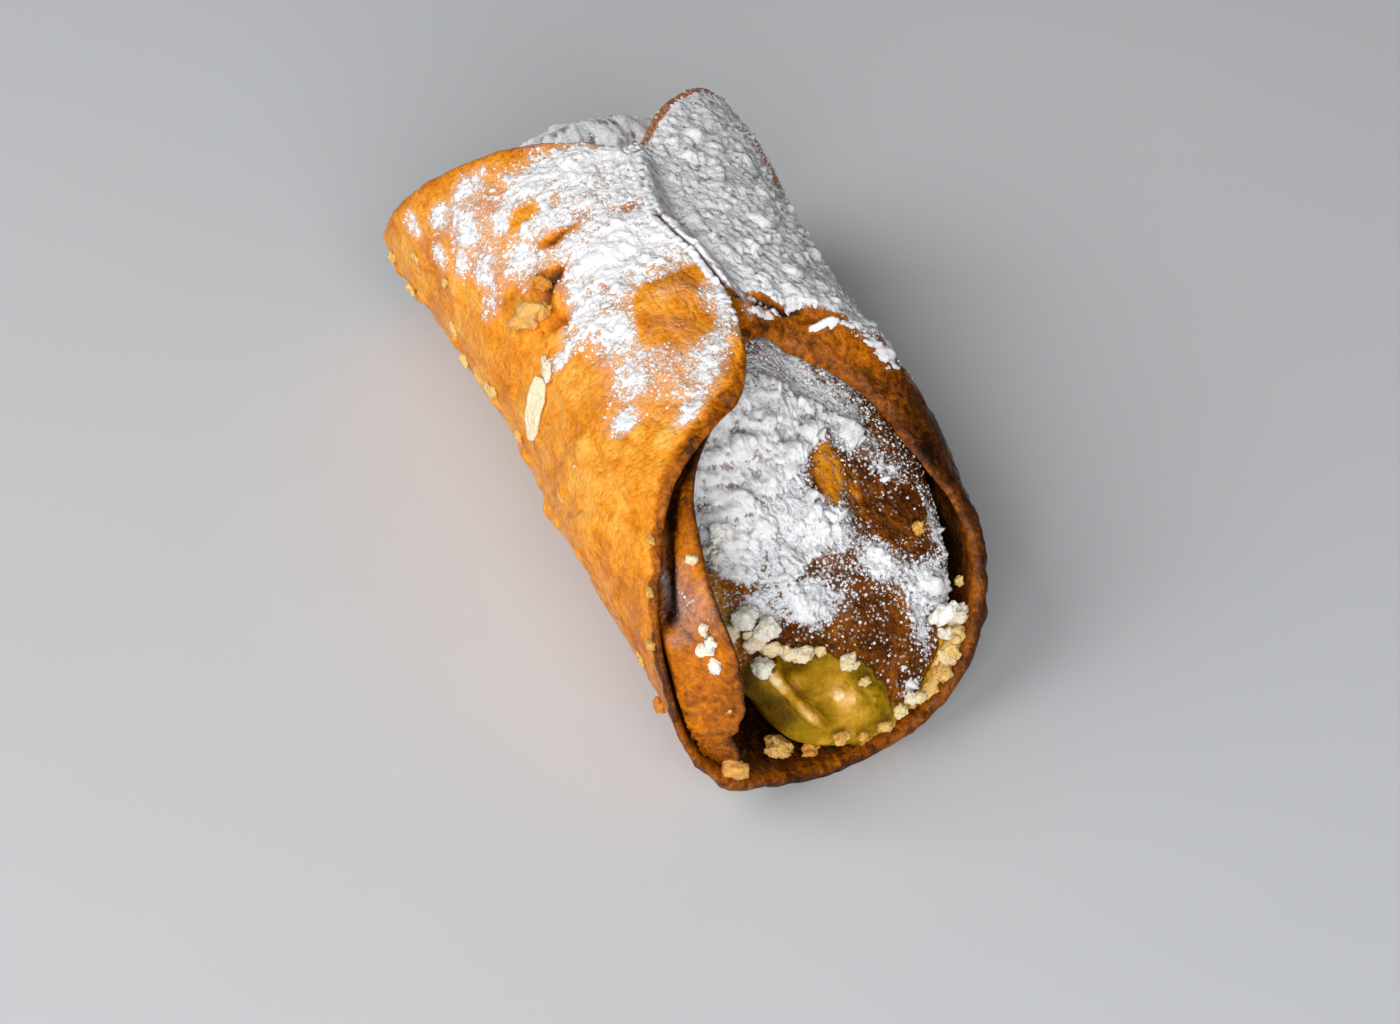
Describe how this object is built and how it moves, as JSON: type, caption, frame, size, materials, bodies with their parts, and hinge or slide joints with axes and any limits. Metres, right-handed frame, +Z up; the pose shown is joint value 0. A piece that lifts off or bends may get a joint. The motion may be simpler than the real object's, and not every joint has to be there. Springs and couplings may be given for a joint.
{
  "type": "cannoli",
  "caption": "Fried pastry roll, one lapped sheet of dough round a cream filling that shows at both slanting mouths, dusted with sugar.",
  "frame": {"origin": "middle of the footprint, on the surface the roll lies on", "axes": "+Z up; the roll's axis along Y, its wide-open mouth towards -Y; the outer flap's free edge runs along the top, from the left (-X) side"},
  "size_m": [0.0578, 0.1197, 0.0473],
  "materials": {
    "shell": "fried dough, golden orange to brown, oily and blistered",
    "filling": "yellow custard under a browned skin",
    "sugar": "powdered sugar, dry and clumped",
    "crumbs": "crumbs of fried dough, custard and an almond flake"
  },
  "bodies": {
    "root": {"shell": "shell", "filling": "filling"}
  },
  "joints": []
}
